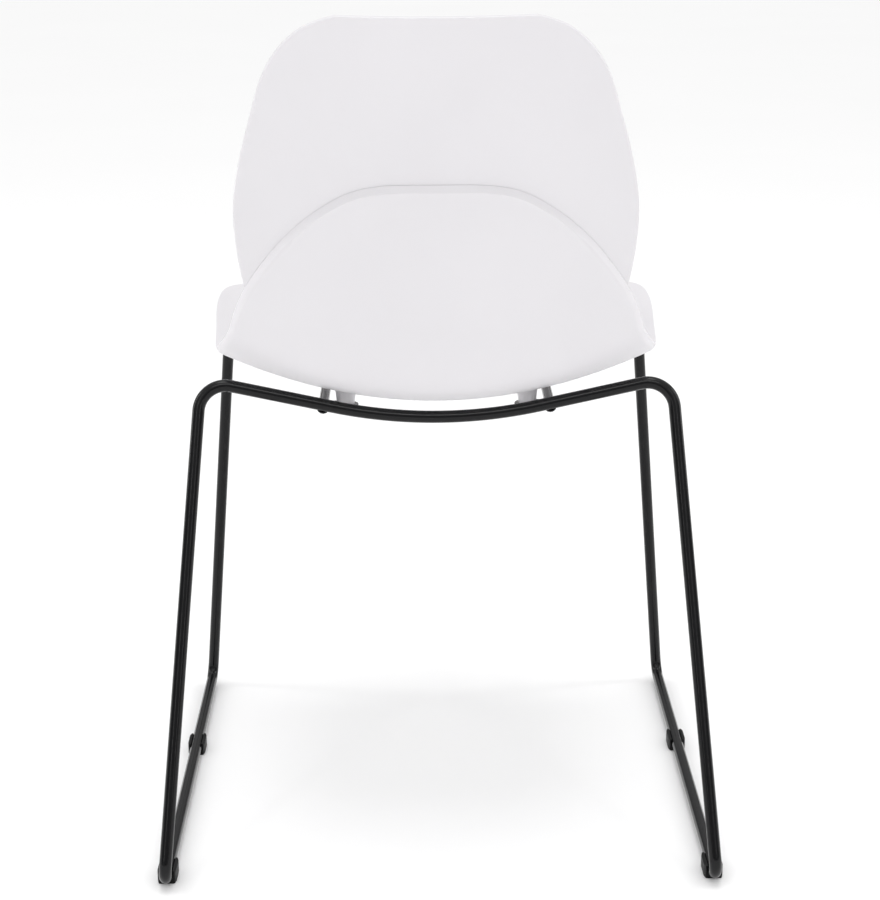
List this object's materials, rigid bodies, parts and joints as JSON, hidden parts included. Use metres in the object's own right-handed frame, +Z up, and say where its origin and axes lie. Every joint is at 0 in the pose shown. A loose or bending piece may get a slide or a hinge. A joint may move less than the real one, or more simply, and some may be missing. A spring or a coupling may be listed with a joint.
{
  "type": "stacking chair",
  "caption": "Stacking chair: white two-layer moulded bucket shell on a black welded rod frame with sled runners and clip-on floor glides.",
  "frame": {"origin": "on the floor under the middle of the bounding box", "axes": "+Z up, the sitter faces -Y, +X across the chair to the sitter's left"},
  "size_m": [0.5214, 0.5276, 0.7837],
  "materials": {
    "shell": "satin moulded polypropylene, white",
    "frame": "black powder coat, semi-gloss",
    "glides": "black moulded plastic",
    "screws": "bright zinc plated",
    "inserts": "turned brass"
  },
  "bodies": {
    "root": {"seat_shell": "shell", "back_shell": "shell", "left_sled_rod": "frame", "right_sled_rod": "frame", "rear_cross_bar": "frame", "front_cross_bar": "frame", "left_seat_rail": "frame", "right_seat_rail": "frame", "rear_left_boss": "shell", "rear_right_boss": "shell", "front_left_boss": "shell", "front_right_boss": "shell", "rear_left_tab": "frame", "rear_right_tab": "frame", "front_left_tab": "frame", "front_right_tab": "frame", "rear_left_glide": "glides", "rear_right_glide": "glides", "front_left_glide": "glides", "front_right_glide": "glides", "rear_left_insert": "inserts", "rear_right_insert": "inserts", "front_left_insert": "inserts", "front_right_insert": "inserts", "rear_left_screw": "screws", "rear_right_screw": "screws", "front_left_screw": "screws", "front_right_screw": "screws"}
  },
  "joints": []
}
